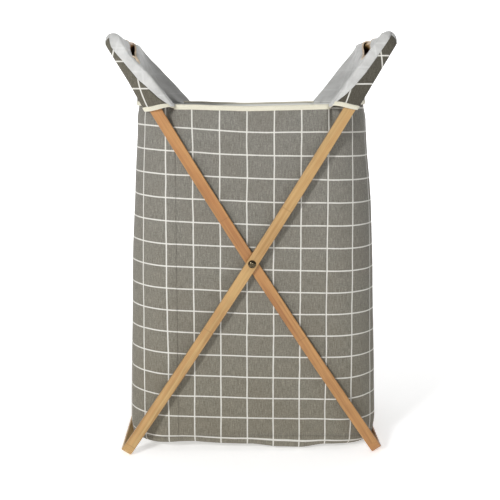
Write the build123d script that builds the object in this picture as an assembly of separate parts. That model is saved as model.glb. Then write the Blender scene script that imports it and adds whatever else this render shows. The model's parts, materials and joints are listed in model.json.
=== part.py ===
from build123d import *
import os
from math import cos, radians, sin

# Folding laundry hamper: two crossed bamboo loops carry an open fabric bag.
# Millimetres, +Z up, front towards -Y. The origin is on the floor, midway between the feet.

# Bamboo loops
LEAN = 32.45  # lean of each loop from upright, at the pivots, in degrees
TOP_REACH = 416.0  # pivot to the outer face of a top rail
BOTTOM_REACH = 384.0  # pivot to the outer face of a bottom rail
BOW_RADIUS = 11600.0  # the loops bend a little under the bag's pull
OUTER_LOOP_DEPTH = 352.0
STRIP_WIDTH = 18.0
STRIP_THICKNESS = 6.0
BEND_RADIUS = 10.0  # outside of the bends between legs and rails
EDGE_ROUND = 1.2
PLANED_DEPTH = 1.3  # taken off the feet's lowest edges, so that they stand flat

# Pivots: a screw post through both loops, with a washer between them
BARREL_RADIUS = 3.0
RUNNING_CLEARANCE = 0.05
DOME_RADIUS = 6.5
DOME_HEIGHT = 3.4
DOME_RIM = 0.8
SCREW_RADIUS = 2.0
SCREW_LENGTH = 10.5
SCREW_HEAD_RADIUS = 5.5
SCREW_HEAD_THICKNESS = 1.4
WASHER_RADIUS = 8.0
WASHER_THICKNESS = 1.5
END_PLAY = 0.1  # on both faces of each loop at the pivots

# Bag
BAG_DEPTH = 319.0
BAG_CORNER_RADIUS = 75.0
BAG_HALF_WIDTHS = {26.0: 210.0, 300.0: 204.5, 578.0: 188.0}  # by height
CLOTH = 2.0
UNDERSIDE_HEIGHT = 14.0
UNDERSIDE_INSET = 30.0
SEAM_X = 122.0  # seam between a front or back panel and the sides
BINDING_WIDTH = 7.5
BINDING_PROUD = 0.6  # how far a binding stands off the cloth on each face

# Ears
EAR_GAP = 0.6  # between the bamboo and the sleeve round it
EAR_HALF_WIDTHS = {566.0: 191.5, 625.0: 202.0, 700.0: 247.0}  # outside of the ear, by height
EAR_CORNER_RADIUS = 9.0
FACING_BASE_HEIGHT = 578.5
FACING_TOP_HEIGHT = 683.0
FACING_BASE_HALF_WIDTH = 185.0
FACING_TOP_HALF_WIDTH = 204.5
FACING_TOP_CORNER_RADIUS = 30.0
RIDGE_TOP = (200.0, 690.0)  # X and Z of the ridge between an ear's sleeve and its inner face
HOLE_LENGTH = 100.0
HOLE_DROP = 36.0  # bottom of the hand hole below the outer face of the rail
HOLE_CORNER_RADIUS = 12.0
HOLE_BINDING = 4.0
BEYOND = 60.0  # how far cutting shapes reach past what they cut

RIM_HEIGHT = max(BAG_HALF_WIDTHS)
SEAM_HEIGHT = min(BAG_HALF_WIDTHS)
LOOP_GAP = WASHER_THICKNESS + 2 * END_PLAY
INNER_LOOP_DEPTH = OUTER_LOOP_DEPTH - 2 * (STRIP_THICKNESS + LOOP_GAP)
SIZE = 2000.0  # larger than the hamper


def bow(reach):
    """How far a loop has bent off its straight line at this distance from the pivot."""
    return reach**2 / (2 * BOW_RADIUS)


PIVOT_HEIGHT = (
    BOTTOM_REACH * cos(radians(LEAN))
    + (STRIP_WIDTH / 2 - bow(BOTTOM_REACH)) * sin(radians(LEAN))
    - PLANED_DEPTH
)


def in_loop_plane(shape):
    """Places a shape drawn with x along the depth and y up the legs on the loop that leans right."""
    normal = (cos(radians(LEAN)), 0, -sin(radians(LEAN)))
    return Plane(origin=(0, 0, PIVOT_HEIGHT), x_dir=(0, 1, 0), z_dir=normal).location * shape


def across(box_from, box_to):
    """A box between two corners."""
    size = [high - low for low, high in zip(box_from, box_to)]
    centre = [(low + high) / 2 for low, high in zip(box_from, box_to)]
    return Pos(*centre) * Box(*size)


def above(height):
    return across((-SIZE, -SIZE, height), (SIZE, SIZE, SIZE))


def along_depth(radius, length, start):
    """A cylinder on the pivots' axis, from a Y of start towards +Y."""
    return Pos(0, start, PIVOT_HEIGHT) * Rot(-90, 0, 0) * Cylinder(
        radius, length, align=(Align.CENTER, Align.CENTER, Align.MIN)
    )


def hoop_slab(depth, offset, half_thickness):
    """The filled outline of a loop, grown by offset, as a slab about the loop's plane."""
    length = TOP_REACH + BOTTOM_REACH + 2 * offset
    outline = RectangleRounded(depth + 2 * offset, length, BEND_RADIUS + offset)
    middle = (TOP_REACH - BOTTOM_REACH) / 2
    return extrude(Pos(0, middle) * outline, half_thickness, both=True)


def bowed_band(depth):
    """The strip's width, as a shallow curved band that runs up the loop."""
    tube = Cylinder(BOW_RADIUS + STRIP_WIDTH / 2, depth) - Cylinder(
        BOW_RADIUS - STRIP_WIDTH / 2, depth
    )
    return Pos(0, 0, -BOW_RADIUS) * Rot(0, 90, 0) * tube


def bamboo_loop(depth):
    """One strip bent into a closed loop, leaning right, bored for the pivots and planed at its foot."""
    ring = hoop_slab(depth, 0, BEYOND) - hoop_slab(depth, -STRIP_THICKNESS, BEYOND)
    strip = ring & bowed_band(depth)
    long_edges = [e for e in strip.edges() if abs(tangent_across(e)) < 0.5]
    strip = fillet(long_edges, EDGE_ROUND)
    placed = in_loop_plane(strip) & above(0)
    bore = along_depth(BARREL_RADIUS + RUNNING_CLEARANCE, depth + BEYOND, -(depth + BEYOND) / 2)
    return placed - bore


def tangent_across(edge):
    """How far an edge runs across the strip's width: 1 for straight across, 0 for along it."""
    return (edge @ 1 - edge @ 0).normalized().Z


def pivot_post():
    """Dome-headed barrel at the front, open towards the bag for its screw."""
    face = -OUTER_LOOP_DEPTH / 2 - END_PLAY
    length = 2 * STRIP_THICKNESS + LOOP_GAP + 2 * END_PLAY
    sphere_radius = (DOME_RADIUS**2 + (DOME_HEIGHT - DOME_RIM) ** 2) / (2 * (DOME_HEIGHT - DOME_RIM))
    centre = face - DOME_HEIGHT + sphere_radius
    dome = Pos(0, centre, PIVOT_HEIGHT) * Sphere(sphere_radius)
    head = dome & along_depth(DOME_RADIUS, DOME_HEIGHT, face - DOME_HEIGHT)
    barrel = along_depth(BARREL_RADIUS, length, face)
    tap = along_depth(SCREW_RADIUS + RUNNING_CLEARANCE, SCREW_LENGTH + 1, face + length - SCREW_LENGTH - 1)
    return head + barrel - tap


def pivot_screw():
    """Flat-headed screw in the front barrel, from the bag's side."""
    face = -OUTER_LOOP_DEPTH / 2 + 2 * STRIP_THICKNESS + LOOP_GAP + END_PLAY
    shank = along_depth(SCREW_RADIUS, SCREW_LENGTH, face - SCREW_LENGTH)
    return shank + along_depth(SCREW_HEAD_RADIUS, SCREW_HEAD_THICKNESS, face)


def spacer_washer():
    """Washer round the front barrel, between the loops."""
    face = -OUTER_LOOP_DEPTH / 2 + STRIP_THICKNESS + END_PLAY
    hole = along_depth(BARREL_RADIUS + RUNNING_CLEARANCE, WASHER_THICKNESS, face)
    return along_depth(WASHER_RADIUS, WASHER_THICKNESS, face) - hole


def rounded_sections(half_widths, depth, radii):
    """Rounded rectangles at their heights, for a loft."""
    return [
        Pos(0, 0, height) * RectangleRounded(2 * half_width, depth, radius)
        for (height, half_width), radius in zip(half_widths.items(), radii)
    ]


def bag_block(inset):
    """The bag's body from its bottom seam to its rim, filled, drawn in by inset."""
    half_widths = {height: width - inset for height, width in BAG_HALF_WIDTHS.items()}
    radii = [BAG_CORNER_RADIUS - inset] * len(half_widths)
    return loft(rounded_sections(half_widths, BAG_DEPTH - 2 * inset, radii), ruled=True)


def front_zone():
    """Where the front panel is: between the side seams."""
    return across((-SEAM_X, -SIZE, 0), (SEAM_X, 0, SIZE))


def front_panel():
    wall = bag_block(0) - bag_block(CLOTH)
    return (wall & front_zone()) - above(RIM_HEIGHT - BINDING_WIDTH)


def front_rim_binding():
    """Tape over the front panel's top edge."""
    tape = bag_block(-BINDING_PROUD) - bag_block(CLOTH + BINDING_PROUD)
    return tape & front_zone() & above(RIM_HEIGHT - BINDING_WIDTH)


def right_side_panel():
    """The right wall, wrapped round to the front and back panels."""
    wall = bag_block(0) - bag_block(CLOTH)
    return wall & across((SEAM_X, -SIZE, 0), (SIZE, SIZE, SIZE))


def bottom_panel():
    """A shallow dish that hangs below the bottom seam."""

    def dish(inset, lowest):
        width = BAG_HALF_WIDTHS[SEAM_HEIGHT] - inset
        depth = BAG_DEPTH - 2 * inset
        radius = BAG_CORNER_RADIUS - inset
        low = RectangleRounded(
            2 * (width - UNDERSIDE_INSET), depth - 2 * UNDERSIDE_INSET, radius - UNDERSIDE_INSET / 2
        )
        high = RectangleRounded(2 * width, depth, radius)
        return loft([Pos(0, 0, lowest) * low, Pos(0, 0, SEAM_HEIGHT) * high], ruled=True)

    return dish(0, UNDERSIDE_HEIGHT) - dish(CLOTH, UNDERSIDE_HEIGHT + CLOTH)


def outside_ridge():
    """Everything to the right of the slope that an ear's ridges lie on."""
    (top_x, top_z), (base_x, base_z) = RIDGE_TOP, (SEAM_X, RIM_HEIGHT)
    run = Vector(top_x - base_x, 0, top_z - base_z).normalized()
    slope = Plane(origin=(base_x, 0, base_z), x_dir=(0, 1, 0), z_dir=(run.Z, 0, -run.X))
    return slope.location * Pos(0, 0, SIZE / 2) * Box(SIZE, SIZE, SIZE)


def ear_block(depth, inset):
    """The right ear's outer shape, filled, drawn in by inset: open at its base and its ridges."""
    half_widths = {height: width - inset for height, width in EAR_HALF_WIDTHS.items()}
    offset = EAR_GAP + CLOTH - inset
    radii = [EAR_CORNER_RADIUS - inset] * len(half_widths)
    block = loft(rounded_sections(half_widths, depth + 2 * offset, radii), ruled=True)
    return block & in_loop_plane(hoop_slab(depth, offset, BEYOND)) & outside_ridge()


def facing_block(inset):
    """The right ear's inner face, filled, from the rim up to the rail."""
    half_widths = {
        FACING_BASE_HEIGHT: FACING_BASE_HALF_WIDTH - inset,
        FACING_TOP_HEIGHT: FACING_TOP_HALF_WIDTH - inset,
    }
    radii = [BAG_CORNER_RADIUS - inset, FACING_TOP_CORNER_RADIUS - inset]
    return loft(rounded_sections(half_widths, BAG_DEPTH - 2 * inset, radii), ruled=True) & outside_ridge()


def hand_hole(grow):
    """Cuts the hand hole, grown by grow, through both faces of the right ear."""
    height = 2 * (HOLE_DROP + grow)
    outline = RectangleRounded(HOLE_LENGTH + 2 * grow, height, HOLE_CORNER_RADIUS + grow)
    return in_loop_plane(extrude(Pos(0, TOP_REACH) * outline, BEYOND, both=True))


def base_zone(depth):
    """Where the bindings of the right ear's base are: its front and back flaps."""
    beside_legs = depth / 2 - STRIP_THICKNESS
    low = across((0, -SIZE, 0), (SIZE, -beside_legs, min(EAR_HALF_WIDTHS) + BINDING_WIDTH))
    return [low, mirror(low, about=Plane.XZ)]


def ear_outer(depth):
    """The plaid side of the right ear."""
    shell = ear_block(depth, 0) - ear_block(depth, CLOTH) - hand_hole(HOLE_BINDING)
    for zone in base_zone(depth):
        shell -= zone
    return shell


def ear_facing():
    """The lining side of the right ear."""
    return facing_block(0) - facing_block(CLOTH) - hand_hole(HOLE_BINDING)


def handle_binding(depth):
    """Tape round the right ear's hand hole, on both its faces."""
    edge = hand_hole(HOLE_BINDING) - hand_hole(0)
    outer = (ear_block(depth, 0) - ear_block(depth, CLOTH)) & edge
    inner = (facing_block(0) - facing_block(CLOTH)) & edge
    return Compound(outer.solids() + inner.solids())


def ear_front_binding(depth):
    """Tape on the bottom edge of the right ear's front flap."""
    tape = ear_block(depth, -BINDING_PROUD) - ear_block(depth, CLOTH + BINDING_PROUD)
    return tape & base_zone(depth)[0]


def to_left(shape):
    return mirror(shape, about=Plane.YZ)


def to_back(shape):
    return mirror(shape, about=Plane.XZ)


def write(name, shape):
    export_step(shape, f"parts/{name}.step")


os.makedirs("parts", exist_ok=True)

write("outer_loop", bamboo_loop(OUTER_LOOP_DEPTH))
write("inner_loop", to_left(bamboo_loop(INNER_LOOP_DEPTH)))

for piece_name, make in (
    ("pivot_post", pivot_post),
    ("pivot_screw", pivot_screw),
    ("spacer_washer", spacer_washer),
    ("panel", front_panel),
    ("rim_binding", front_rim_binding),
):
    piece = make()
    write(f"front_{piece_name}", piece)
    write(f"back_{piece_name}", to_back(piece))

side_panel = right_side_panel()
write("right_side_panel", side_panel)
write("left_side_panel", to_left(side_panel))
write("bottom_panel", bottom_panel())

for side, loop_depth, place in (
    ("right", OUTER_LOOP_DEPTH, lambda shape: shape),
    ("left", INNER_LOOP_DEPTH, to_left),
):
    write(f"{side}_ear_outer", place(ear_outer(loop_depth)))
    write(f"{side}_ear_facing", place(ear_facing()))
    write(f"{side}_handle_binding", place(handle_binding(loop_depth)))
    base_binding = place(ear_front_binding(loop_depth))
    write(f"{side}_front_ear_binding", base_binding)
    write(f"{side}_back_ear_binding", to_back(base_binding))
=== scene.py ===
"""Looks of the folding laundry hamper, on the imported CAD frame. Metres, +Z up, front towards -Y."""

import json
import math

import bmesh
import bpy
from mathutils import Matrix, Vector, noise


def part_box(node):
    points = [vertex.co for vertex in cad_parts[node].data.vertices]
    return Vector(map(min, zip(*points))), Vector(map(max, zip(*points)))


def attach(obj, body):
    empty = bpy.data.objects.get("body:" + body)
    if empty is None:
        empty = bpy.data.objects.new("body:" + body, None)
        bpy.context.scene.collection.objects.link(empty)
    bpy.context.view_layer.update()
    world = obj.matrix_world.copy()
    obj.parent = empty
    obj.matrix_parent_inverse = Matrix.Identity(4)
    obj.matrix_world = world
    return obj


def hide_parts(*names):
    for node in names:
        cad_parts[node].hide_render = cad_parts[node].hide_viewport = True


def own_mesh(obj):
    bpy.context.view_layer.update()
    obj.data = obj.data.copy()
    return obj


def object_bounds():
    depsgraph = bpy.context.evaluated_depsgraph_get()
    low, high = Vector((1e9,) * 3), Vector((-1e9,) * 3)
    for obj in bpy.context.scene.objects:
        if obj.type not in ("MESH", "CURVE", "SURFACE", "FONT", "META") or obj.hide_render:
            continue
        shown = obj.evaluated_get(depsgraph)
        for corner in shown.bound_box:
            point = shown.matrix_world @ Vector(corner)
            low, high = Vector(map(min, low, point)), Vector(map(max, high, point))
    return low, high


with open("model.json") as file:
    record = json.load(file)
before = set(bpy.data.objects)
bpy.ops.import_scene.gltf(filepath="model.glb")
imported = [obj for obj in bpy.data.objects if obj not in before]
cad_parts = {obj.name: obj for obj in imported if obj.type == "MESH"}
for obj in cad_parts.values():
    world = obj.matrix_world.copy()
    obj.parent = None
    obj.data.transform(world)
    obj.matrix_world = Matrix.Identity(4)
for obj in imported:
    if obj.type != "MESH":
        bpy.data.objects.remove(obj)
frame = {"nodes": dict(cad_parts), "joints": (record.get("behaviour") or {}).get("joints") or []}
cad_low, cad_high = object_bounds()

MM = 0.001
FRONT, BACK = -1, 1
RIGHT, LEFT = 1, -1

# The geometry that the CAD gives
LEAN = math.radians(32.45)  # lean of each loop from upright, at the pivots
SEAM_X = 122 * MM  # seam between the front panel and the sides
BAG_CORNER = 75 * MM
RIM_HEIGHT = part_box("right_side_panel")[1].z
SEAM_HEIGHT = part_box("right_side_panel")[0].z
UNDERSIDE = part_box("bottom_panel")[0].z
BAG_HALF_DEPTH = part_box("right_side_panel")[1].y
FOLD_JOINT = "outer_loop_fold"
PIVOT_HEIGHT = next(j for j in frame["joints"] if j["name"] == FOLD_JOINT)["pos_m"][2]
LOOP_HALF_DEPTH = {RIGHT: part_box("outer_loop")[1].y, LEFT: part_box("inner_loop")[1].y}
LOOP_BODY = {RIGHT: "outer_loop", LEFT: "inner_loop"}
SIDE_NAME = {RIGHT: "right", LEFT: "left"}

# The plaid
PITCH_AROUND = 43.6 * MM  # between upright lines
PITCH_UP = 36.5 * MM  # between level lines
LINE_WIDTH = 2.1 * MM
LINES_AROUND = 30
THREAD_PITCH = 1.1 * MM
FIRST_LINE = -8 * MM  # the upright line nearest the middle of the front

CLOTH = 1.2 * MM
TAPE_WIDTH = 7.5 * MM
TAPE_THICKNESS = 1.1 * MM


def lerp(a, b, share):
    return a + (b - a) * share


def smooth(value, low, high):
    """0 below low, 1 above high, and smooth between."""
    t = min(1.0, max(0.0, (value - low) / (high - low)))
    return t * t * (3 - 2 * t)


def through(knots, value):
    """Nearly straight lines through (position, value) pairs, held flat past both ends."""
    if value <= knots[0][0]:
        return knots[0][1]
    for (a, at_a), (b, at_b) in zip(knots, knots[1:]):
        if value <= b:
            return lerp(at_a, at_b, smooth(value, a, b) * 0.3 + 0.7 * (value - a) / (b - a))
    return knots[-1][1]


def wrinkle(x, y, z, seed):
    """Smooth noise from -1 to 1."""
    return noise.noise(Vector((x, y, z)) + Vector((seed * 7.3, seed * 3.1, seed * 5.7)))


# ---- Materials


class Nodes:
    """Short names for making a material's nodes."""

    def __init__(self, name, roughness, sheen=0.0, metallic=0.0, specular=0.5):
        self.material = bpy.data.materials.new(name)
        self.material.use_nodes = True
        self.tree = self.material.node_tree
        self.shader = self.tree.nodes["Principled BSDF"]
        self.shader.inputs["Roughness"].default_value = roughness
        self.shader.inputs["Metallic"].default_value = metallic
        self.shader.inputs["Specular IOR Level"].default_value = specular
        self.shader.inputs["Sheen Weight"].default_value = sheen

    def new(self, kind, **inputs):
        """A node with its inputs set, by name or, as i0, i1 and so on, by number."""
        node = self.tree.nodes.new("ShaderNode" + kind)
        for key, value in inputs.items():
            self.put(node.inputs[int(key[1:]) if key[1:].isdigit() else key], value)
        return node

    def put(self, socket, value):
        if isinstance(value, bpy.types.NodeSocket):
            self.tree.links.new(value, socket)
        else:
            socket.default_value = value

    def math(self, operation, a, b=0.0):
        node = self.new("Math", i0=a, i1=b)
        node.operation = operation
        return node.outputs[0]

    def remap(self, value, low, high, to_low, to_high):
        node = self.new("MapRange", i0=value, i1=low, i2=high, i3=to_low, i4=to_high)
        return node.outputs[0]

    def noise(self, vector, scale, detail=3.0, roughness=0.55):
        node = self.new("TexNoise", Vector=vector, Scale=scale, Detail=detail, Roughness=roughness)
        return node.outputs[0]

    def stretch(self, vector, scale):
        node = self.new("VectorMath", i0=vector, i1=scale)
        node.operation = "MULTIPLY"
        return node.outputs[0]

    def mix(self, share, a, b, blend="MIX"):
        node = self.new("Mix")
        node.data_type = "RGBA"
        node.blend_type = blend
        self.put(node.inputs["Factor"], share)
        self.put(node.inputs[6], a)
        self.put(node.inputs[7], b)
        return node.outputs[2]

    def bump(self, height, strength, distance):
        node = self.new("Bump", Height=height, Strength=strength, Distance=distance)
        return node.outputs[0]

    def done(self, colour, normal, roughness=None):
        self.put(self.shader.inputs["Base Color"], colour)
        self.put(self.shader.inputs["Normal"], normal)
        if roughness is not None:
            self.put(self.shader.inputs["Roughness"], roughness)
        return self.material


def rgb(red, green, blue):
    """A colour given as 0 to 255 screen values, as the shader's linear ones."""
    return (*(((c / 255 + 0.055) / 1.055) ** 2.4 for c in (red, green, blue)), 1.0)


def scaled(colour, *factors):
    """A colour times one factor, or times one for each of red, green and blue."""
    factors = factors * 3 if len(factors) == 1 else factors
    return (*(c * f for c, f in zip(colour, factors)), 1.0)


def cloth_nodes(n, thread, wobble):
    """The cloth's own coordinates, in metres, with a plain weave's height and the threads' slubs."""
    uv = n.new("UVMap")
    uv.uv_map = "cloth"
    at = uv.outputs[0]
    split = n.new("SeparateXYZ", Vector=at)
    u, v = split.outputs[0], split.outputs[1]
    drift = n.noise(at, 9.0, 2.0)
    u = n.math("ADD", u, n.math("MULTIPLY", n.math("SUBTRACT", drift, 0.5), wobble))
    v = n.math("ADD", v, n.math("MULTIPLY", n.math("SUBTRACT", n.noise(at, 7.0, 2.0), 0.5), wobble))
    turns = 2 * math.pi / thread
    warp = n.math("SINE", n.math("MULTIPLY", u, turns))
    weft = n.math("SINE", n.math("MULTIPLY", v, turns))
    weave = n.math("MULTIPLY", warp, weft)
    warp_slubs = n.noise(n.stretch(at, (950.0, 75.0, 1.0)), 1.0, 4.0, 0.75)
    weft_slubs = n.noise(n.stretch(at, (80.0, 950.0, 1.0)), 1.0, 4.0, 0.7)
    return at, u, v, weave, warp_slubs, weft_slubs


def line_mask(n, coordinate, first, pitch, width):
    """1 on the plaid's lines and 0 between them."""
    before = first - 200 * pitch  # a line well before the cloth starts
    off = n.math("PINGPONG", n.math("SUBTRACT", coordinate, before), pitch / 2)
    return n.remap(off, width / 2 - 0.25 * MM, width / 2 + 0.25 * MM, 1.0, 0.0)


def plaid(name, first_u, first_v, pitch_u=PITCH_AROUND, pitch_v=PITCH_UP, depth=1.0):
    """Warm grey cotton-linen with woven white lines and slubs, with painted shade: darker and warmer
    towards the bottom, and darker all over for a depth below 1.
    """
    n = Nodes(name, roughness=0.92, sheen=0.12, specular=0.2)
    at, u, v, weave, warp_slubs, weft_slubs = cloth_nodes(n, THREAD_PITCH, 4.5 * MM)
    cloth = n.mix(n.remap(warp_slubs, 0.33, 0.68, 0.0, 1.0), rgb(92, 91, 86), rgb(156, 154, 147))
    cloth = n.mix(n.remap(weft_slubs, 0.42, 0.66, 0.0, 0.5), cloth, rgb(148, 146, 139))
    cloth = n.mix(n.remap(n.noise(at, 420.0, 3.0, 0.6), 0.42, 0.62, 0.0, 0.4), cloth, rgb(90, 89, 83))
    cloth = n.mix(n.remap(n.noise(at, 14.0, 3.0), 0.35, 0.65, 0.0, 0.25), cloth, rgb(116, 109, 99))
    # Painted shade: darker and warmer towards the bottom.
    cloth = n.mix(n.remap(v, 0.08, 0.5, 1.0, 0.0), cloth, (0.97, 0.935, 0.84, 1.0), "MULTIPLY")
    # Painted shade: a depth below 1 darkens the whole cloth, for the ears' flaps that lie in shadow.
    cloth = n.mix(1.0, cloth, (depth, depth * 0.99, depth * 0.97, 1.0), "MULTIPLY")
    level = line_mask(n, v, first_v, pitch_v, LINE_WIDTH)
    upright = line_mask(n, u, first_u, pitch_u, LINE_WIDTH)
    lines = n.math("MAXIMUM", level, upright)
    broken = n.remap(n.math("ADD", warp_slubs, weft_slubs), 0.7, 1.3, 0.72, 1.0)
    colour = n.mix(n.math("MULTIPLY", lines, broken), cloth, rgb(226, 224, 217))
    height = n.math("ADD", n.math("MULTIPLY", weave, 0.35), n.math("MULTIPLY", warp_slubs, 1.2))
    height = n.math("ADD", height, n.math("MULTIPLY", lines, 0.5))
    return n.done(colour, n.bump(height, 0.55, 0.35 * MM))


def lining(name, first_u, first_v):
    """The cloth's coated back: pale grey, a little mottled, with the plaid faint through it, and painted
    light that makes it paler just below the rim.
    """
    n = Nodes(name, roughness=0.5, sheen=0.05, specular=0.35)
    at, u, v, weave, warp_slubs, _ = cloth_nodes(n, THREAD_PITCH, 1.6 * MM)
    mottle = n.remap(n.noise(at, 55.0, 4.0), 0.3, 0.7, 0.0, 1.0)
    coat = n.mix(mottle, rgb(181, 181, 179), rgb(205, 205, 203))
    coat = n.mix(n.remap(warp_slubs, 0.4, 0.7, 0.0, 0.3), coat, rgb(174, 174, 171))
    lines = n.math("MAXIMUM", line_mask(n, v, first_v, PITCH_UP, LINE_WIDTH * 1.3),
                   line_mask(n, u, first_u, PITCH_AROUND, LINE_WIDTH * 1.3))
    # Painted light: the lining paler just below the rim, where the inside of the walls lies in shade.
    rim_painted_light = n.remap(v, RIM_HEIGHT - 40 * MM, RIM_HEIGHT - 12 * MM, 0.0, 0.9)
    coat = n.mix(rim_painted_light, coat, rgb(240, 241, 236))
    colour = n.mix(n.math("MULTIPLY", lines, 0.16), coat, rgb(232, 232, 232))
    height = n.math("ADD", n.math("MULTIPLY", weave, 0.2), n.noise(at, 160.0, 4.0))
    rough = n.remap(n.noise(at, 30.0), 0.3, 0.7, 0.42, 0.6)
    return n.done(colour, n.bump(height, 0.35, 0.3 * MM), rough)


def tape(name, base):
    """Cream herringbone binding tape."""
    n = Nodes(name, roughness=0.85, sheen=0.15, specular=0.25)
    uv = n.new("UVMap")
    uv.uv_map = "cloth"
    at = uv.outputs[0]
    split = n.new("SeparateXYZ", Vector=at)
    u, v = split.outputs[0], split.outputs[1]
    zigzag = n.math("PINGPONG", v, 1.9 * MM)
    twill = n.math("SINE", n.math("MULTIPLY", n.math("ADD", u, zigzag), 2 * math.pi / THREAD_PITCH))
    shade = n.remap(n.math("ADD", twill, n.noise(at, 260.0)), -0.6, 1.6, 0.0, 1.0)
    colour = n.mix(shade, scaled(base, 0.80), base)
    colour = n.mix(n.remap(n.noise(at, 20.0), 0.4, 0.7, 0.0, 0.25), colour, scaled(base, 0.88))
    return n.done(colour, n.bump(twill, 0.5, 0.25 * MM))


def bamboo(name, lean, pale, dark, seed):
    """Split bamboo: fibres along the strip, darker joints, lighter patches and a satin lacquer."""
    n = Nodes(name, roughness=0.42, specular=0.45)
    n.shader.inputs["Coat Weight"].default_value = 0.18
    n.shader.inputs["Coat Roughness"].default_value = 0.3
    coords = n.new("TexCoord").outputs["Object"]
    turn = n.new("Mapping", Vector=coords)
    turn.inputs["Rotation"].default_value = (0.0, -lean, 0.0)
    split = n.new("SeparateXYZ", Vector=turn.outputs[0])
    across, depth, along = split.outputs
    middle = PIVOT_HEIGHT * math.cos(lean) + 0.016  # halfway between the loop's two rails
    reach = n.math("ABSOLUTE", n.math("SUBTRACT", along, middle))
    on_rail = n.remap(reach, 0.384, 0.394, 0.0, 1.0)
    with_grain, over_grain = 0.022, 0.6
    leg_at = n.new("CombineXYZ", X=across, Y=n.math("MULTIPLY", depth, over_grain),
                   Z=n.math("MULTIPLY", along, with_grain))
    rail_at = n.new("CombineXYZ", X=across, Y=n.math("MULTIPLY", depth, with_grain),
                    Z=n.math("MULTIPLY", along, over_grain))
    fibre_at = n.mix(on_rail, leg_at.outputs[0], rail_at.outputs[0])
    offset = n.new("VectorMath", i0=fibre_at, i1=(seed, seed * 0.37, seed * 0.71)).outputs[0]
    fibres = n.noise(offset, 900.0, 4.0, 0.7)
    bands = n.noise(offset, 170.0, 3.0, 0.5)
    patches = n.noise(coords, 14.0, 2.0)
    colour = n.mix(n.remap(bands, 0.32, 0.68, 0.0, 1.0), pale, dark)
    colour = n.mix(n.remap(fibres, 0.46, 0.7, 0.0, 0.6), colour, scaled(dark, 0.62))
    blush = n.remap(n.noise(offset, 60.0, 2.0), 0.45, 0.65, 0.0, 0.45)
    colour = n.mix(blush, colour, scaled(pale, 1.05, 0.84, 0.74))
    colour = n.mix(n.remap(patches, 0.4, 0.7, 0.0, 0.4), colour, scaled(pale, 1.18))
    joint = n.math("PINGPONG", n.math("ADD", along, 0.31 + seed * 0.02), 0.118)
    joint = n.math("ADD", joint, n.math("MULTIPLY", bands, 1.5 * MM))
    joint = n.remap(joint, 0.6 * MM, 2.2 * MM, 1.0, 0.0)
    joint = n.math("MULTIPLY", joint, n.math("SUBTRACT", 1.0, on_rail))
    colour = n.mix(n.math("MULTIPLY", joint, 0.38), colour, scaled(dark, 0.55))
    height = n.math("ADD", n.math("MULTIPLY", fibres, 0.7), n.math("MULTIPLY", joint, 0.5))
    rough = n.remap(fibres, 0.3, 0.7, 0.36, 0.55)
    return n.done(colour, n.bump(height, 0.35, 0.25 * MM), rough)


def aged_brass(name):
    """Dark antique brass: bright where it is rubbed, brown patina elsewhere, finely scratched."""
    n = Nodes(name, roughness=0.3, metallic=1.0)
    coords = n.new("TexCoord").outputs["Object"]
    patina = n.noise(coords, 480.0, 4.0, 0.6)
    bright = rgb(118, 106, 84)
    dark = rgb(56, 49, 38)
    colour = n.mix(n.remap(patina, 0.35, 0.7, 0.0, 1.0), dark, bright)
    scratches = n.noise(n.stretch(coords, (6000.0, 6000.0, 900.0)), 1.0, 2.0)
    return n.done(colour, n.bump(scratches, 0.15, 0.05 * MM), n.remap(patina, 0.3, 0.7, 0.22, 0.12))


def thread(name):
    """Pale twisted sewing thread."""
    n = Nodes(name, roughness=0.7, sheen=0.1, specular=0.3)
    coords = n.new("TexCoord").outputs["Object"]
    twist = n.noise(n.stretch(coords, (4000.0, 4000.0, 1500.0)), 1.0, 2.0)
    return n.done(n.mix(twist, rgb(206, 198, 176), rgb(242, 236, 220)), n.bump(twist, 0.4, 0.1 * MM))


PLAID = plaid("plaid_cloth", FIRST_LINE, SEAM_HEIGHT)
LINING = lining("coated_lining", FIRST_LINE, SEAM_HEIGHT)
# The ears' plaid is darkened as painted shade, the right one most, as it faces away from the key light.
EAR_PLAID_PAINTED_SHADE = {
    RIGHT: plaid("right_ear_plaid_painted_shade", 0.0, 0.0, PITCH_AROUND, 43.2 * MM, depth=0.44),
    LEFT: plaid("left_ear_plaid_painted_shade", 0.0, 0.0, 39.0 * MM, 41.6 * MM, depth=0.62),
}
CREAM = tape("cream_tape", rgb(236, 231, 211))
PEACH = tape("handle_tape", rgb(230, 212, 188))
THREAD = thread("stitching")


# ---- Mesh helpers


def make_piece(name, points, faces, uvs, materials, other_uvs=None, other_faces=()):
    """A smooth mesh with the cloth's coordinates as its UV map. other_faces use other_uvs instead."""
    mesh = bpy.data.meshes.new(name)
    mesh.from_pydata([tuple(p) for p in points], [], faces)
    layer = mesh.uv_layers.new(name="cloth")
    others = set(other_faces)
    for polygon in mesh.polygons:
        polygon.use_smooth = True
        source = other_uvs if polygon.index in others else uvs
        for corner in polygon.loop_indices:
            layer.data[corner].uv = source[mesh.loops[corner].vertex_index]
    for material in materials:
        mesh.materials.append(material)
    piece = bpy.data.objects.new(name, mesh)
    bpy.context.scene.collection.objects.link(piece)
    return piece


def grid_faces(rows, columns, closed=False, first=0):
    """Quads over rows of points, each row of that many columns."""
    span = columns if closed else columns - 1
    faces = []
    for row in range(rows - 1):
        for column in range(span):
            a = first + row * columns + column
            b = first + row * columns + (column + 1) % columns
            faces.append((a, b, b + columns, a + columns))
    return faces


def face_out(piece, wanted=None):
    """Makes a closed mesh's faces point outwards, or an open sheet's mostly towards wanted."""
    made = bmesh.new()
    made.from_mesh(piece.data)
    bmesh.ops.recalc_face_normals(made, faces=made.faces)
    total = sum((face.normal * face.calc_area() for face in made.faces), Vector())
    if wanted and total.dot(wanted) < 0:
        bmesh.ops.reverse_faces(made, faces=made.faces)
    made.to_mesh(piece.data)
    made.free()


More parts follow.
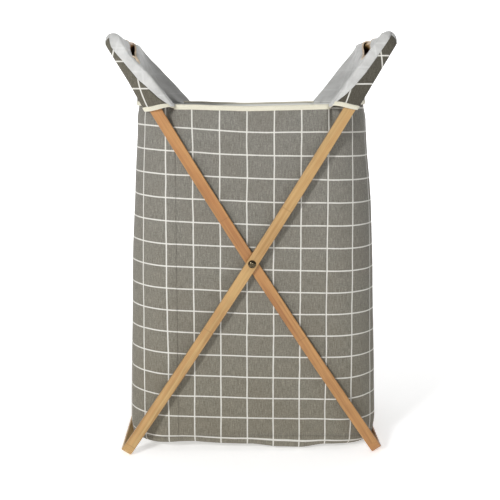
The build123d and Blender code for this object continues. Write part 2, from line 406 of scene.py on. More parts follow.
def thicken(piece, thickness, offset):
    """Gives a sheet its thickness, inwards for an offset of -1 and both ways for 0."""
    solid = piece.modifiers.new("thickness", "SOLIDIFY")
    solid.thickness = thickness
    solid.offset = offset
    solid.material_offset = 1  # the inner face and the edges take the second material
    solid.material_offset_rim = 1


def apply_modifiers(piece):
    """Bakes the modifiers into the mesh, so that poses can change its points."""
    graph = bpy.context.evaluated_depsgraph_get()
    piece.data = bpy.data.meshes.new_from_object(piece.evaluated_get(graph))
    piece.modifiers.clear()


def sweep(name, path, across, up, profile, material, closed=False):
    """A tape along path. across and up are its frame at each point, and profile its section in them."""
    points, uvs = [], []
    girth = [0.0]
    for (a0, b0), (a1, b1) in zip(profile, profile[1:]):
        girth.append(girth[-1] + math.hypot(a1 - a0, b1 - b0))
    run = 0.0
    for index, centre in enumerate(path):
        if index:
            run += (centre - path[index - 1]).length
        for (a, b), g in zip(profile, girth):
            points.append(centre + across[index] * a + up[index] * b)
            uvs.append((run, g))
    count = len(profile)
    faces = grid_faces(len(path), count, closed=True)
    last = (len(path) - 1) * count
    if closed:
        faces += [(last + i, last + (i + 1) % count, (i + 1) % count, i) for i in range(count)]
    else:
        faces += [tuple(range(count))[::-1], tuple(last + i for i in range(count))]
    return make_piece(name, points, faces, uvs, [material])


def tape_profile(width, thickness, steps=5):
    """A flat tape's section with rounded edges, as (across, up) points."""
    half, radius = width / 2 - thickness / 2, thickness / 2
    points = []
    for centre, start in ((half, -90), (-half, 90)):
        for step in range(steps):
            angle = math.radians(start + 180 * step / (steps - 1))
            points.append((centre + radius * math.cos(angle), radius * math.sin(angle)))
    return points


def folded_profile():
    """A tape folded over an edge: a long leg outside and a short one inside, as (height, outwards)."""
    inside, outside = CLOTH / 2, CLOTH / 2 + TAPE_THICKNESS
    return [
        (-TAPE_WIDTH - 0.6 * MM, inside), (-TAPE_WIDTH - 0.6 * MM, outside - 0.2 * MM),
        (-TAPE_WIDTH, outside), (-TAPE_WIDTH / 2, outside + 0.15 * MM), (-0.9 * MM, outside),
        (-0.15 * MM, outside * 0.6), (0.0, 0.0), (-0.15 * MM, -outside * 0.6), (-0.9 * MM, -outside),
        (-2.6 * MM, -outside), (-3.2 * MM, -outside + 0.2 * MM), (-3.2 * MM, -inside),
        (-TAPE_THICKNESS, -inside), (-TAPE_THICKNESS, inside),
    ]


def stitches(name, seats, length, radius):
    """Short threads, each a rounded bar lying at its seat: (centre, along, up)."""
    points, faces, uvs = [], [], []
    sides = 6
    for centre, along, up in seats:
        side = along.cross(up).normalized()
        base = len(points)
        for share, swell in ((-0.5, 0.25), (-0.36, 0.9), (0.0, 1.0), (0.36, 0.9), (0.5, 0.25)):
            lift = radius * (0.6 - 2.4 * share * share)
            for k in range(sides):
                angle = 2 * math.pi * k / sides
                ring = side * math.cos(angle) + up * math.sin(angle)
                points.append(centre + along * (length * share) + up * lift + ring * (radius * swell))
                uvs.append((length * share, radius * angle))
        faces += grid_faces(5, sides, closed=True, first=base)
        faces.append(tuple(base + k for k in range(sides))[::-1])
        faces.append(tuple(base + 4 * sides + k for k in range(sides)))
    return make_piece(name, points, faces, uvs, [THREAD])


# ---- Bag


def half_width(z):
    """Half the bag's width at a height, as its cloth hangs."""
    return through([
        (SEAM_HEIGHT, 0.2075), (0.045, 0.2100), (0.12, 0.2085), (0.30, 0.2040), (0.45, 0.1970),
        (0.555, 0.1905), (RIM_HEIGHT, 0.1862),
    ], z)


def quarter_length(z):
    """Length round the bag from the middle of the front to the middle of a side."""
    return half_width(z) + BAG_HALF_DEPTH - 2 * BAG_CORNER + math.pi / 2 * BAG_CORNER


QUARTER = LINES_AROUND * PITCH_AROUND / 4  # a quarter of the way round, on the printed cloth
LOWEST_CLOTH = 1.5 * MM  # the sagging bottom stays this far above the floor


def around(a, z):
    """Point and outward direction at length a round the bag from the middle of the front."""
    quarter = quarter_length(z)
    side = RIGHT if a >= 0 else LEFT
    a = abs(a)
    end = FRONT if a <= quarter else BACK
    if end == BACK:
        a = 2 * quarter - a
    width, depth = half_width(z), BAG_HALF_DEPTH - 0.6 * MM
    straight, bend = width - BAG_CORNER, math.pi / 2 * BAG_CORNER
    if a <= straight:
        x, y, out = a, depth, Vector((0, 1, 0))
    elif a <= straight + bend:
        angle = (a - straight) / BAG_CORNER
        out = Vector((math.sin(angle), math.cos(angle), 0))
        x = straight + BAG_CORNER * out.x
        y = depth - BAG_CORNER + BAG_CORNER * out.y
    else:
        x, y, out = width, depth - BAG_CORNER - (a - straight - bend), Vector((1, 0, 0))
    return Vector((side * x, end * y, z)), Vector((side * out.x, end * out.y, 0))


def from_middle(a, z):
    """Length from a to the middle of the front or of the back, whichever is nearer."""
    quarter = quarter_length(z)
    return abs(a) if abs(a) <= quarter else 2 * quarter - abs(a)


def pattern_u(a, z):
    """Where length a lies on the printed cloth: the lines spread or close a little on the sides."""
    quarter, near = quarter_length(z), from_middle(a, z)
    u = near + (QUARTER - quarter) * smooth(near, 0.13, quarter)
    return (1 if a >= 0 else -1) * (2 * QUARTER - u if abs(a) > quarter else u)


def askew(point):
    """How far the level lines hang below true: down to the right, and most in the middle."""
    across = (point.x + 0.004) / 0.189
    low = (0.279 - point.z) / 0.254
    return (6.1 + 6.5 * across + 2.1 * low - 4.3 * low**2 - 3.3 * across**2) * MM


RIGHT_BULGE = 5.2  # how far out the right side stands below its top, in millimetres
RIGHT_LOW_BULGE = 1.6  # and how much more low down
LEFT_PULL = 1.2  # how far in the left side is


def slack(a, z):
    """How far the cloth stands off its taut shape, outwards."""
    tall = (z - SEAM_HEIGHT) / (RIM_HEIGHT - SEAM_HEIGHT)
    soft = 2.0 * wrinkle(a * 9, z * 3.2, 0.0, 1) + 1.1 * wrinkle(a * 26, z * 4.0, 0.5, 2)
    creases = 0.8 * wrinkle(a * 60, z * 9.0, 0.2, 3)
    held = 1 - 0.75 * smooth(tall, 0.9, 1.0) - 0.45 * smooth(-tall, -0.06, 0.0)
    near = from_middle(a, z)
    on_side = smooth(near, 0.14, 0.26)
    belly = (2.0 - 4.5 * on_side) * math.sin(math.pi * min(1, max(0, tall)))
    fuller = -LEFT_PULL
    if a > 0:
        fuller = RIGHT_BULGE * smooth(-tall, -0.88, -0.68) + RIGHT_LOW_BULGE * smooth(-tall, -0.4, -0.2)
    fold = -9.0 * math.exp(-(((near - 0.131) / 0.006) ** 2)) * smooth(tall, 0.905, 0.99)
    off = (soft + creases) * held * (0.45 + 0.75 * on_side) + belly * 0.5 + fold
    limit = lerp(0.9, 3.5, on_side)
    return (min(off, limit) + fuller * on_side) * MM


def rim_sag(a, z):
    """The mouth's edge hangs a little between the corners, and the bottom seam waves."""
    near = from_middle(a, z)
    droop = -2.6 * MM * (1 - smooth(near, 0.0, SEAM_X)) * smooth(z, RIM_HEIGHT - 0.12, RIM_HEIGHT)
    hang = (1.5 - 7.0 * smooth(near, 0.10, 0.24)) * MM + 1.5 * MM * wrinkle(a * 16, 0.0, 0.0, 5)
    return droop + hang * (1 - smooth(z, SEAM_HEIGHT, SEAM_HEIGHT + 0.07))


def bag_point(a, z):
    point, out = around(a, z)
    return point + out * slack(a, z) + Vector((0, 0, rim_sag(a, z))), out


def bag_panel(name, spans, columns):
    """A wall of the bag, between the two lengths round it that spans gives for a height."""
    rows = 110
    points, uvs = [], []
    for row in range(rows):
        z = lerp(SEAM_HEIGHT, RIM_HEIGHT, row / (rows - 1))
        start, stop = spans(z)
        for column in range(columns):
            a = lerp(start, stop, column / (columns - 1))
            point, _ = bag_point(a, z)
            points.append(point)
            uvs.append((pattern_u(a, z), z + askew(point)))
    piece = make_piece(name, points, grid_faces(rows, columns), uvs, [PLAID, LINING])
    thicken(piece, CLOTH, -1)
    width = max(spans(z)[1] - spans(z)[0] for z in (SEAM_HEIGHT, RIM_HEIGHT))
    return piece, (width, RIM_HEIGHT - SEAM_HEIGHT)


def finish_cloth(piece, body, node):
    """Applies a sheet's modifiers, hides the CAD node that it stands for and mounts the sheet."""
    apply_modifiers(piece)
    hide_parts(node)
    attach(piece, body)


def back_seam(z):
    """Length round the bag to the seam between the right side and the back."""
    return 2 * quarter_length(z) - SEAM_X


def squash_with_fold(piece):
    """Gives the piece its own copy of its mesh."""
    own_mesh(piece)


def make_walls():
    panels = {
        "front_panel": (lambda z: (-SEAM_X, SEAM_X), 100),
        "back_panel": (lambda z: (-2 * quarter_length(z) - SEAM_X, -back_seam(z)), 100),
        "right_side_panel": (lambda z: (SEAM_X, back_seam(z)), 150),
        "left_side_panel": (lambda z: (-back_seam(z), -SEAM_X), 150),
    }
    for node, (spans, columns) in panels.items():
        piece, flat = bag_panel(f"{node}_cloth", spans, columns)
        finish_cloth(piece, "bag", node)
        squash_with_fold(piece)


def under_sag(x):
    """How much further the bottom's rolled edge hangs, along the width."""
    knots = [(-0.10, 0.0), (-0.05, 4.5), (0.0, 6.0), (0.04, 12.0), (0.085, 12.0), (0.12, 6.5)]
    return through(knots, x) * MM


def make_bottom():
    """The bottom: sewn to the walls' lower edge, rolling under below it and sagging in soft waves."""
    rolled, flat_rings, columns = 8, 20, 240
    radius = SEAM_HEIGHT - UNDERSIDE + 0.5 * MM
    quarter = quarter_length(SEAM_HEIGHT)
    points, on_wall, on_floor = [], [], []
    for ring in range(rolled + flat_rings):
        angle = math.pi / 2 * min(1.0, ring / (rolled - 1))
        share = max(0.0, (ring - rolled + 1) / flat_rings)
        for column in range(columns):
            a = (column / columns * 4 - 2) * quarter
            edge, out = bag_point(a, SEAM_HEIGHT)
            curl = 0.75 + 0.9 * abs(out.x)
            place = edge - out * (radius * curl * (1 - math.cos(angle)))
            wave = (0.8 + 1.8 * wrinkle(a * 15, share * 2, 0.0, 8)) * MM * (1 - share) * math.sin(angle)
            depth = radius + under_sag(edge.x) * (1 - share) ** 2
            place = place * (1 - share)
            place.z = max(LOWEST_CLOTH, edge.z - depth * math.sin(angle) + wave)
            points.append(place)
            on_wall.append((pattern_u(a, SEAM_HEIGHT), SEAM_HEIGHT + askew(edge) - radius * angle))
            on_floor.append((place.x, place.y))
    faces = [f[::-1] for f in grid_faces(rolled + flat_rings, columns, closed=True)]
    below = range((rolled - 1) * columns, len(faces))
    piece = make_piece("bottom_cloth", points, faces, on_wall, [PLAID, LINING], on_floor, below)
    thicken(piece, CLOTH, -1)
    finish_cloth(piece, "bag", "bottom_panel")
    squash_with_fold(piece)


def make_rim(end):
    """Tape folded over the front or back panel's top edge, with its stitching."""
    node = "front_rim_binding" if end == FRONT else "back_rim_binding"
    steps = 90
    path, across, up, seats = [], [], [], []
    for step in range(steps + 1):
        share = step / steps
        a = lerp(-SEAM_X - 3 * MM, SEAM_X + 3 * MM, share)
        if end == BACK:
            a = 2 * quarter_length(RIM_HEIGHT) * (1 if share >= 0.5 else -1) - a
        point, out = bag_point(a, RIM_HEIGHT)
        twist = 0.5 * MM * wrinkle(share * 9, 0, 0, 4)
        path.append(point + Vector((0, 0, TAPE_THICKNESS + twist)) - out * (CLOTH / 2))
        across.append(Vector((0, 0, 1)))
        up.append(out)
    piece = sweep(f"{node}_tape", path, across, up, folded_profile(), CREAM)
    face_out(piece)
    mount_tape(piece, node, "bag")
    squash_with_fold(piece)
    spacing = 3.4 * MM
    count = int(2 * SEAM_X / spacing)
    for k in range(count):
        at = (k + 0.5) / count * steps
        low = int(at)
        point = path[low].lerp(path[low + 1], at - low)
        along = (path[low + 1] - path[low]).normalized()
        out = up[low]
        seat = point + out * (CLOTH / 2 + TAPE_THICKNESS) - Vector((0, 0, TAPE_WIDTH - 0.6 * MM))
        seats.append((seat, along, out))
    thread_piece = stitches(f"{node}_stitching", seats, 2.6 * MM, 0.28 * MM)
    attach(thread_piece, "bag")
    squash_with_fold(thread_piece)


def mount_tape(piece, node, body):
    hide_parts(node)
    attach(piece, body)


# ---- Ears: a sleeve over each loop's top, plaid outside and lining inside.
# Their shape is worked out in the loop's plane: y along the depth, s up the legs from the pivots,
# and n across the strip, positive away from the hamper's middle. Lengths in millimetres.

EAR_TOP = 427.5
EAR_BEND = 20.0  # radius of the sleeve's corners at the top, seen from its side
FACE_TOP = 415.5  # where the two faces start to round over the top
FACE_INSET = 3.0  # and how far inside the outline they start to turn round the strip's edges
TOP_DROP = 8.0  # how much lower the middle of the top lies, where it rests on the rail
SLEEVE_GAP = 1.6  # cloth's middle off the bamboo's wide face
# Pairs of s and n: the plaid's outer edge, the seam between the two sheets, the lining's ridge at the
# front and at the back, and the middle of each sheet
EDGE_N = {
    RIGHT: [(295, 7.0), (324, 6.2), (350, 5.1), (380, 4.1), (409, 3.1), (415, 2.9)],
    LEFT: [(295, 11.6), (324, 9.5), (352, 7.7), (380, 7.3), (409, 6.7), (415, 6.4)],
}
SEAM_N = {
    RIGHT: [
        (283, -29.5), (293, -26.4), (308, -21.0), (328, -16.4), (353, -13.2), (398, -11.3), (427, -11.0),
    ],
    LEFT: [
        (283, -26.0), (308, -17.0), (328, -11.7), (344, -6.7), (376, -2.9), (398, 0.3), (408, 0.5),
        (427, -5.5),
    ],
}
RIDGE_N = {
    RIGHT: [(280, -34.9), (301, -31.5), (342, -29.2), (369, -27.2), (400, -25.5), (415, -25.0)],
    LEFT: [
        (280, -33.9), (301, -30.0), (341, -25.8), (354, -23.0), (366, -19.8), (382, -17.2), (415, -17.6),
    ],
}
BACK_RIDGE_N = {
    RIGHT: [(281, -37.0), (297, -29.8), (325, -25.6), (354, -23.4), (399, -17.8), (415, -17.5)],
    LEFT: [(276, -41.0), (296, -38.8), (314, -34.8), (355, -26.7), (383, -20.6), (406, -17.6)],
}
OUTER_MID_N = {
    RIGHT: [(310, 23.0), (350, 12.0), (385, 4.0), (415, 4.0)],
    LEFT: [(310, 24.0), (350, 13.0), (385, 6.0), (415, 5.5)],
}
INNER_MID_N = {
    RIGHT: [(308, 20.0), (340, 5.0), (372, -9.0), (395, -14.0), (406, -19.0), (415, -21.0)],
    LEFT: [(308, 20.0), (340, 5.0), (375, -9.0), (391, -13.0), (404, -16.5), (411, -18.0), (415, -18.0)],
}
# s, and how far in from the ridge the lining's hollow reaches its full depth
INNER_BEND = [(300, 76.0), (360, 62.0), (400, 34.0), (421, 20.0)]
HOLE_HALF = 50.0  # half the hand hole's length
HOLE_BOTTOM = {RIGHT: 385.0, LEFT: 377.0}
HOLE_ROUND = 24.0  # radius of its lower corners
HOLE_JOIN = {RIGHT: -9.0, LEFT: -8.0}  # where the two layers are bound together below the rail
FACING_BASE = 576.0  # height at which the ear's lining starts
FACING_PAST_SEAM = {RIGHT: 0.0, LEFT: 12.0}  # how far the lining laps over the back panel there
LAP_BAND = 2  # the lining laps over the top, from the sleeve's third band upwards
LAP_INSET = 3  # and that many columns in from its corners
CORNER_BASE = {RIGHT: 571.0, LEFT: 568.5}  # height of the plaid's lower edge at its outer corners
INNER_BASE = {RIGHT: 578.5, LEFT: 576.5}  # and where it meets the rim and the side
UPRIGHT_LINE = {RIGHT: 0.1464, LEFT: 0.1672}  # X of the flap's first upright line at the rim's height
LEVEL_LINE = {RIGHT: 0.6106, LEFT: 0.6035}  # height of one level line


def from_loop(side, y, s, n):
    """A point of the loop's plane, in millimetres, as a place in the frame."""
    x = s * math.sin(LEAN) + n * math.cos(LEAN)
    z = s * math.cos(LEAN) - n * math.sin(LEAN)
    return Vector((side * x * MM, y * MM, PIVOT_HEIGHT + z * MM))


def to_loop(side, place):
    x, z = side * place.x / MM, (place.z - PIVOT_HEIGHT) / MM
    return place.y / MM, x * math.sin(LEAN) + z * math.cos(LEAN), x * math.cos(LEAN) - z * math.sin(LEAN)


def s_at_height(height, n):
    return (height - PIVOT_HEIGHT / MM + n * math.sin(LEAN)) / math.cos(LEAN)


def sleeve_half_depth(side):
    return LOOP_HALF_DEPTH[side] / MM + SLEEVE_GAP


def depth_at(side, s):
    """Half-depth of the sleeve's outline at s, drawn in round the loop's bends."""
    full = sleeve_half_depth(side)
    over = s - (EAR_TOP - EAR_BEND)
    if over <= 0:
        return full
    return full - EAR_BEND + math.sqrt(max(0.0, EAR_BEND**2 - over**2))


def outline_at(side, y, s, on_top):
    """Nearest point of the sleeve's outline to a point just inside it."""
    full, corner = sleeve_half_depth(side), EAR_TOP - EAR_BEND
    sign = 1 if y >= 0 else -1
    if s <= corner and not on_top:
        return sign * full, s
    if abs(y) <= full - EAR_BEND:
        return y, EAR_TOP
    centre = sign * (full - EAR_BEND)
    dy, ds = y - centre, max(s - corner, 0.0)
    size = math.hypot(dy, ds)
    return centre + dy / size * EAR_BEND, corner + ds / size * EAR_BEND


def settled(y, s):
    """s with the sleeve's top lowered onto the rail, all but its front end."""
    return s - TOP_DROP * (1 - smooth(-y, 85, 162)) * smooth(s, 402, EAR_TOP)


def in_hole(side, y, s):
    """True inside the hand hole's outline, which runs on past the rail."""
    y, low = abs(y), HOLE_BOTTOM[side]
    if y >= HOLE_HALF or s <= low:
        return False
    if s < low + HOLE_ROUND and y > HOLE_HALF - HOLE_ROUND:
        return math.hypot(y - (HOLE_HALF - HOLE_ROUND), s - (low + HOLE_ROUND)) < HOLE_ROUND
    return True


def bound(side, y, s, n, offset):
    """n, brought close to the other layer at the hand hole's edge, below the rail."""
    low = HOLE_BOTTOM[side] + HOLE_ROUND
    off_edge = math.hypot(max(0.0, abs(y) - HOLE_HALF + HOLE_ROUND), max(0.0, low - s)) - HOLE_ROUND
    share = (1 - smooth(off_edge, 0, 20)) * (1 - smooth(s, 390, 406))
    return lerp(n, HOLE_JOIN[side] + offset, share)


def rise_above(value, floor, softness=2.0):
    """The larger of the two, with the change between them rounded."""
    gap = floor - value
    return value + (gap + math.sqrt(gap * gap + softness * softness)) / 2


def wall_n(y, s):
    """n of the bag's wall, carried straight up."""
    bend = (abs(y) * MM - (BAG_HALF_DEPTH - BAG_CORNER)) / BAG_CORNER
    x = half_width(RIM_HEIGHT) - BAG_CORNER + BAG_CORNER * math.sqrt(max(0.0, 1 - max(0.0, bend) ** 2))
    return (x / MM - s * math.sin(LEAN)) / math.cos(LEAN)


def outer_n(side, y, s):
    """The plaid sheet's height over the loop's plane."""
    inset = max(0.0, depth_at(side, s) - abs(y))
    edge, mid = through(EDGE_N[side], s), through(OUTER_MID_N[side], s)
    crumple = 1.2 * wrinkle(y * 0.03, s * 0.035, side, 11) + 0.6 * wrinkle(y * 0.09, s * 0.06, side, 12)
    crumple *= smooth(inset, 4, 40) * smooth(-s, -412, -395)
    free = lerp(edge, mid, smooth(inset, 0, 150)) + crumple
    return bound(side, y, s, rise_above(free, wall_n(y, s) + 2.0), 0.8)


def ridge_n(side, y, s):
    """Height of the ear's inner ridge, which differs between its front and its back."""
    return lerp(through(RIDGE_N[side], s), through(BACK_RIDGE_N[side], s), smooth(y, -40, 120))


def inner_n(side, y, s):
    """The lining sheet's height: ridges at the front and back and a hollow between."""
    inset = max(0.0, depth_at(side, s) - abs(y) - 9.0)
    ridge, mid, bend = ridge_n(side, y, s), through(INNER_MID_N[side], s), through(INNER_BEND, s)
    share = 1 - min(1.0, inset / bend)
    hollow = math.sqrt(max(0.0, 1 - share * share)) * 0.75 + 0.25 * smooth(inset, 0, bend)
    sag = 2.0 * math.sin(math.pi * smooth(s, 300, 400)) * smooth(inset, 20, 90)
    crumple = 1.4 * wrinkle(y * 0.035, s * 0.03, side, 21) + 0.8 * wrinkle(y * 0.10, s * 0.05, side, 22)
    free = lerp(ridge, mid, hollow) + sag + crumple * smooth(inset, 5, 30) * smooth(-s, -404, -385)
    return bound(side, y, s, -rise_above(-free, 4.0 - outer_n(side, y, s)), -0.8)


def outer_point(side, up, across):
    """A place of the plaid sheet's main face: up and across run from 0 to 1 and from -1 to 1."""
    s = lerp(305, FACE_TOP, up)
    for _ in range(4):  # the height of the base and s depend on each other
        y = across * (depth_at(side, s) - FACE_INSET)
        n = outer_n(side, y, s)
        base = s_at_height(outer_base(side, y, n), n)
        s = lerp(base, FACE_TOP, up)
    return y, s, n


def outer_base(side, y, n):
    """Height of the plaid sheet's lower edge: it rises from its corners both ways."""
    along_side = smooth(sleeve_half_depth(side) - abs(y), 3, 48)
    along_flap = smooth(11.0 - n, 0, 42)
    return lerp(CORNER_BASE[side], INNER_BASE[side], max(along_side, along_flap))


def facing_point(side, up, across):
    """A place of the lining sheet's main face, which starts on the inside of the bag's wall."""
    s = lerp(305, FACE_TOP, up)
    for _ in range(4):
        y = across * (depth_at(side, s) - FACE_INSET)
        n = inner_n(side, y, s)
        s = lerp(s_at_height(FACING_BASE, n), FACE_TOP, up)
    quarter = quarter_length(FACING_BASE * MM)
    stop = 2 * quarter - SEAM_X + FACING_PAST_SEAM[side] * MM
    wall, out = bag_point(side * lerp(SEAM_X, stop, (across + 1) / 2), FACING_BASE * MM)
    start = to_loop(side, wall - out * 2.0 * MM)
    rise = smooth(up, -0.02, 0.42)
    return tuple(lerp(a, b, rise) for a, b in zip(start, (y, s, n)))


def flap_bulge(side, s, n):
    """How far the flaps stand off the leg, near their lower edge and between their two folds."""
    ridge = through(RIDGE_N[side], s)
    share = (n - ridge) / (through(EDGE_N[side], s) - ridge)
    return 5.0 * (1 - smooth(s, 285, 345)) * math.sin(math.pi * min(1.0, max(0.0, share)))


def cloth_at(side, place, on_flap):
    """The cloth's coordinates: on the flaps the threads swing upright towards the top."""
    v = place.z - LEVEL_LINE[side]
    if not on_flap:
        return place.y + PITCH_AROUND / 2, v
    above_rim = place.z - 0.58
    return abs(place.x) - 0.45 * above_rim + 4.06 * above_rim**2 - UPRIGHT_LINE[side], v


def band_point(side, base_at, start_point, on_top, low, angle, run):
    """A place between a face's edge and the seam: round by angle, then across by run, from 0 to 1."""
    y, s, n = start_point
    out_y, out_s = outline_at(side, y, s, on_top)
    start = s_at_height(base_at(side, y, n), n)
    seam_s = out_s
    for _ in range(3):
        seam_n = through(SEAM_N[side], seam_s)
        seam_s = out_s + low * (s_at_height(base_at(side, out_y, seam_n), seam_n) - start)
    radius = lerp(FACE_INSET, abs(n - seam_n), smooth(s, 400, FACE_TOP))
    turned = n + (radius if seam_n > n else -radius) * (1 - math.cos(angle))
    n_here = lerp(turned, seam_n, run)
    y_here = lerp(y, out_y, math.sin(angle))
    s_here = lerp(s, out_s, math.sin(angle))
    s_here += low * (s_at_height(base_at(side, y_here, n_here), n_here) - start)
    y_here += (1 if y > 0 else -1) * flap_bulge(side, s_here, n_here)
    return y_here, s_here, n_here


def ear_sheet(name, side, point_at, base_at, materials):
    """One side of an ear: its main face, and the band that wraps round the bamboo to the seam.

    Gives the piece, and its lower edge as pairs of a place and the direction up the sheet there.
    """
    rows, columns, turns, runs = 56, 150, 6, 7
    low_rows = 22  # the rows over which the band's base evens out
    grid = []
    for row in range(rows):
        share = row / (rows - 1)
        up = 0.7 * share + 0.3 * (1 - (1 - share) ** 2)
        grid.append([point_at(side, up, 2 * column / (columns - 1) - 1) for column in range(columns)])
    points = [point for line in grid for point in line]
    faces = grid_faces(rows, columns)
    flap_start = len(faces)
    edge = [(row, 0) for row in range(rows)]
    edge += [(rows - 1, column) for column in range(1, columns - 1)]
    edge += [(row, columns - 1) for row in reversed(range(rows))]
    rings = [[row * columns + column for row, column in edge]]
    for band in range(1, turns + runs + 1):
        angle = math.pi / 2 * min(1.0, band / turns)
        run = max(0.0, (band - turns) / runs)
        ring = []
        for row, column in edge:
            on_top, low = row == rows - 1, 1 - smooth(row, 0, low_rows)
            ring.append(len(points))
            points.append(band_point(side, base_at, grid[row][column], on_top, low, angle, run))
        rings.append(ring)
        for k in range(len(edge) - 1):
            faces.append((rings[-2][k], rings[-2][k + 1], ring[k + 1], ring[k]))
    lapped_columns = range(rows - 1 + LAP_INSET, rows + columns - 2 - LAP_INSET)
    kept, flaps, lapped = [], [], []
    for index, face in enumerate(faces):
        y = sum(points[i][0] for i in face) / 4
        s = sum(points[i][1] for i in face) / 4
        if not in_hole(side, y, s):
            if index >= flap_start:
                band, place = divmod(index - flap_start, len(edge) - 1)
                flaps.append(len(kept))
                if band >= LAP_BAND and place in lapped_columns:
                    lapped.append(len(kept))
            kept.append(face)
    used = sorted({i for face in kept for i in face})
    renumber = {old: new for new, old in enumerate(used)}
    places = [from_loop(side, y, settled(y, s), n) for y, s, n in points]
    kept = [tuple(renumber[i] for i in face) for face in kept]
    main = [cloth_at(side, places[i], False) for i in used]
    flap = [cloth_at(side, places[i], True) for i in used]
    piece = make_piece(name, [places[i] for i in used], kept, main, materials, flap, flaps)
    for index in lapped:
        piece.data.polygons[index].material_index = 1
    base = [ring[0] for ring in reversed(rings[1:])] + list(range(columns))
    base += [ring[-1] for ring in rings[1:]]
    above = [ring[3] for ring in reversed(rings[1:])] + list(range(3 * columns, 4 * columns))
    above += [ring[-4] for ring in rings[1:]]
    edge_line = [(places[a], (places[b] - places[a]).normalized()) for a, b in zip(base, above)]
    return piece, edge_line


def make_ear(side):
    word = SIDE_NAME[side]
    outer, base_edge = ear_sheet(f"{word}_ear_outer_cloth", side, outer_point, outer_base,
                                 [EAR_PLAID_PAINTED_SHADE[side], LINING])
    facing, _ = ear_sheet(f"{word}_ear_facing_cloth", side, facing_point,
                          lambda side, y, n: FACING_BASE, [LINING, LINING])
    face_out(outer, Vector((side, 0, 0)))
    face_out(facing, Vector((-side, 0, 0)))
    sheets = (outer, f"{word}_ear_outer", "plaid_cloth"), (facing, f"{word}_ear_facing", "lining")
    for piece, node, slot in sheets:
        thicken(piece, 1.0 * MM, 0)
        finish_cloth(piece, LOOP_BODY[side], node)
    make_hole_tape(side)
    make_base_tapes(side, base_edge)


def hole_edge(side, height_of):
    """The hand hole's edge on one face, from the rail down, across and up again."""
    low, radius, half = HOLE_BOTTOM[side], HOLE_ROUND, HOLE_HALF
    heights = [lerp(FACE_TOP, low + radius, k / 12) for k in range(12)]
    turn = [math.pi / 2 * k / 8 for k in range(9)]
    run = [(-half, s) for s in heights]
    run += [(-half + radius - radius * math.cos(t), low + radius - radius * math.sin(t)) for t in turn]
    run += [(lerp(-half + radius, half - radius, k / 24), low) for k in range(1, 24)]
    run += [(half - radius + radius * math.sin(t), low + radius - radius * math.cos(t)) for t in turn]
    run += [(half, s) for s in reversed(heights)]
    return [(y, s, height_of(side, y, s)) for y, s in run]


def over_rail(side, start, stop):
    """The tape's way over the rail, from one face to the other, as the sleeve's top is rounded."""
    seam_n = through(SEAM_N[side], EAR_TOP)
    steps, way = 14, []
    for k in range(1, steps):
        angle = math.pi * k / steps
        face_n = (start if math.cos(angle) > 0 else stop)[2]
        s = FACE_TOP + (EAR_TOP - FACE_TOP) * math.sin(angle)
        way.append((start[0], s, seam_n + (face_n - seam_n) * abs(math.cos(angle))))
    return way


def make_hole_tape(side):
    """Tape round the hand hole: down, across and up each face, and over the rail between them."""
    outer = hole_edge(side, outer_n)
    inner = hole_edge(side, inner_n)[::-1]
    loop = outer + over_rail(side, outer[-1], inner[0]) + inner + over_rail(side, inner[-1], outer[0])
    path = [from_loop(side, y, settled(y, s), n) for y, s, n in loop]
    origin = from_loop(side, 0, 0, 0)
    count = len(path)
    across, up = [], []
    for k, (_, s, _) in enumerate(loop):
        along = (path[(k + 1) % count] - path[k - 1]).normalized()
        on_outer = k < len(outer) + 7 or k >= count - 7
        flat_normal = from_loop(side, 0, 0, 1 if on_outer else -1) - origin
        top_normal = from_loop(side, 0, 1, 0) - origin
        normal = flat_normal.lerp(top_normal, smooth(s, FACE_TOP, EAR_TOP))
        normal = (normal - along * normal.dot(along)).normalized()
        across.append(along.cross(normal).normalized())
        up.append(normal)
    profile = tape_profile(4.8 * MM, 2.6 * MM)
    piece = sweep(f"{SIDE_NAME[side]}_handle_tape", path, across, up, profile, PEACH, closed=True)
    face_out(piece)
    mount_tape(piece, f"{SIDE_NAME[side]}_handle_binding", LOOP_BODY[side])


def resample(line, spacing):
    """Evenly spaced (place, rise) pairs along a line of them, smoothed once."""
    lengths = [0.0]
    for (a, _), (b, _) in zip(line, line[1:]):
        lengths.append(lengths[-1] + (b - a).length)
    count = int(lengths[-1] / spacing)
    even = []
    k = 0
    for step in range(count + 1):
        at = lengths[-1] * step / count
        while k < len(line) - 2 and lengths[k + 1] < at:
            k += 1
        share = (at - lengths[k]) / max(lengths[k + 1] - lengths[k], 1e-9)
        even.append((line[k][0].lerp(line[k + 1][0], share), line[k][1].lerp(line[k + 1][1], share)))
    inside = [
        ((a[0] + b[0] * 2 + c[0]) / 4, (a[1] + b[1] * 2 + c[1]) / 4)
        for a, b, c in zip(even, even[1:], even[2:])
    ]
    return [even[0]] + inside + [even[-1]]


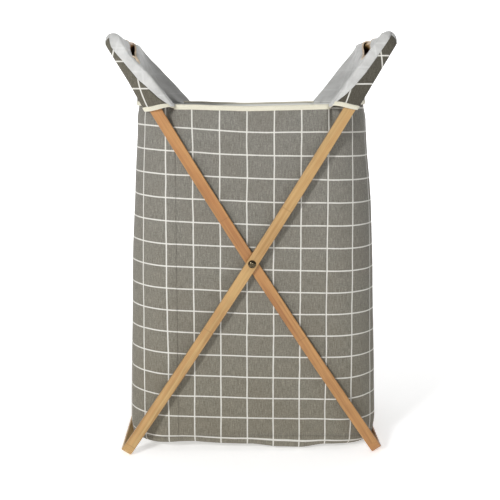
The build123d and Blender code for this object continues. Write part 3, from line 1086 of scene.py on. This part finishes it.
def make_base_tapes(side, base_edge):
    """Tape on the plaid's lower edge, from the rim's front corner round the side to its back one."""
    x, depth, z = SEAM_X + 1.5 * MM, BAG_HALF_DEPTH + 1.0 * MM, RIM_HEIGHT - 4.5 * MM
    corners = [(Vector((side * x, end * depth, z)), Vector((0, 0, 1))) for end in (FRONT, BACK)]
    line = resample([corners[0]] + base_edge + [corners[1]], 2.0 * MM)
    half = len(line) // 2
    for end, part in ((FRONT, line[: half + 1]), (BACK, line[half:])):
        path, across, up = [], [], []
        for k, (place, rise) in enumerate(part):
            along = (part[min(k + 1, len(part) - 1)][0] - part[max(k - 1, 0)][0]).normalized()
            rise = (rise - along * rise.dot(along)).normalized()
            to_corner = min((place - corner).length for corner, _ in corners)
            narrow = lerp(0.5, 1.0, smooth(to_corner, 0.0, 0.03))
            path.append(place + rise * (TAPE_WIDTH / 2 * narrow - 0.8 * MM))
            across.append(rise * narrow)
            up.append(along.cross(rise).normalized())
        word = f"{SIDE_NAME[side]}_{'front' if end == FRONT else 'back'}_ear"
        piece = sweep(f"{word}_tape", path, across, up, tape_profile(TAPE_WIDTH, 2.9 * MM), CREAM)
        face_out(piece)
        mount_tape(piece, f"{word}_binding", LOOP_BODY[side])


# ---- The frame's own nodes


def paint(node, material):
    """Gives a CAD node its material."""
    piece = frame["nodes"][node]
    for slot in piece.material_slots:
        slot.material = material


def paint_frame():
    paint("outer_loop", bamboo("pale_bamboo", LEAN, rgb(190, 157, 103), rgb(160, 119, 68), 1.0))
    paint("inner_loop", bamboo("warm_bamboo", -LEAN, rgb(184, 137, 82), rgb(148, 97, 53), 2.0))
    brass = aged_brass("aged_brass")
    for place in ("front", "back"):
        for part in ("pivot_post", "pivot_screw", "spacer_washer"):
            paint(f"{place}_{part}", brass)


# ---- Stage, light and camera


def make_stage():
    """A pale floor that curves up into a backdrop."""
    n = Nodes("studio_paper", roughness=0.9, specular=0.1)
    coords = n.new("TexCoord").outputs["Object"]
    paper = n.mix(n.noise(coords, 3.0), rgb(247, 247, 247), rgb(251, 251, 251))
    n.shader.inputs["Emission Color"].default_value = (1.0, 1.0, 1.0, 1.0)
    n.shader.inputs["Emission Strength"].default_value = 0.45
    material = n.done(paper, n.bump(n.noise(coords, 900.0), 0.05, 0.1 * MM))
    half, back, rise, radius, steps = 9.0, 5.0, 7.0, 2.5, 24
    line = [(-half, 0.0)]
    for k in range(steps + 1):
        angle = math.pi / 2 * k / steps
        line.append((back - radius + radius * math.sin(angle), radius - radius * math.cos(angle)))
    line.append((back, rise))
    points = [(x, y, z) for y, z in line for x in (-half, half)]
    flat = [(x, y) for x, y, _ in points]
    floor = make_piece("studio_floor", points, grid_faces(len(line), 2), flat, [material])


def make_light(name, place, target, size, power):
    """A square lamp at place, facing target."""
    lamp = bpy.data.lights.new(name, "AREA")
    lamp.size = size
    lamp.energy = power
    holder = bpy.data.objects.new(name, lamp)
    holder.location = place
    holder.rotation_euler = (Vector(target) - Vector(place)).to_track_quat("-Z", "Y").to_euler()
    bpy.context.scene.collection.objects.link(holder)


def make_studio():
    make_stage()
    make_light("key", (-1.25, -2.25, 1.3), (0, 0, 0.35), 0.36, 38)
    make_light("fill", (0.45, -3.1, 1.0), (0, 0, 0.35), 0.25, 7)
    make_light("top", (0.3, 0.0, 3.0), (0, 0, 0.3), 2.0, 12)
    make_light("backdrop", (0.0, 2.2, 3.4), (0, 5.0, 1.6), 3.0, 90)
    world = bpy.data.worlds.new("studio")
    world.use_nodes = True
    background = world.node_tree.nodes["Background"]
    background.inputs["Color"].default_value = (1, 1, 1, 1)
    background.inputs["Strength"].default_value = 0.23
    scene = bpy.context.scene
    scene.world = world
    scene.view_settings.view_transform = "Standard"


def make_camera():
    """In front, a little above the rim and to the left, turned back towards the middle."""
    data = bpy.data.cameras.new("camera")
    data.lens = 69.1
    data.sensor_width = 36
    camera = bpy.data.objects.new("camera", data)
    turn, tilt, distance, height = math.radians(1.0), math.radians(9.75), 1.522, 0.609
    aim_x, aim_y = -0.0034, cad_low.y + 0.0035
    camera.location = (aim_x - distance * math.sin(turn), aim_y - distance * math.cos(turn), height)
    camera.rotation_euler = (math.pi / 2 - tilt, 0, -turn)
    bpy.context.scene.collection.objects.link(camera)
    bpy.context.scene.camera = camera


make_camera()
make_studio()
paint_frame()
make_walls()
make_bottom()
for rim_end in (FRONT, BACK):
    make_rim(rim_end)
for ear_side in (RIGHT, LEFT):
    make_ear(ear_side)
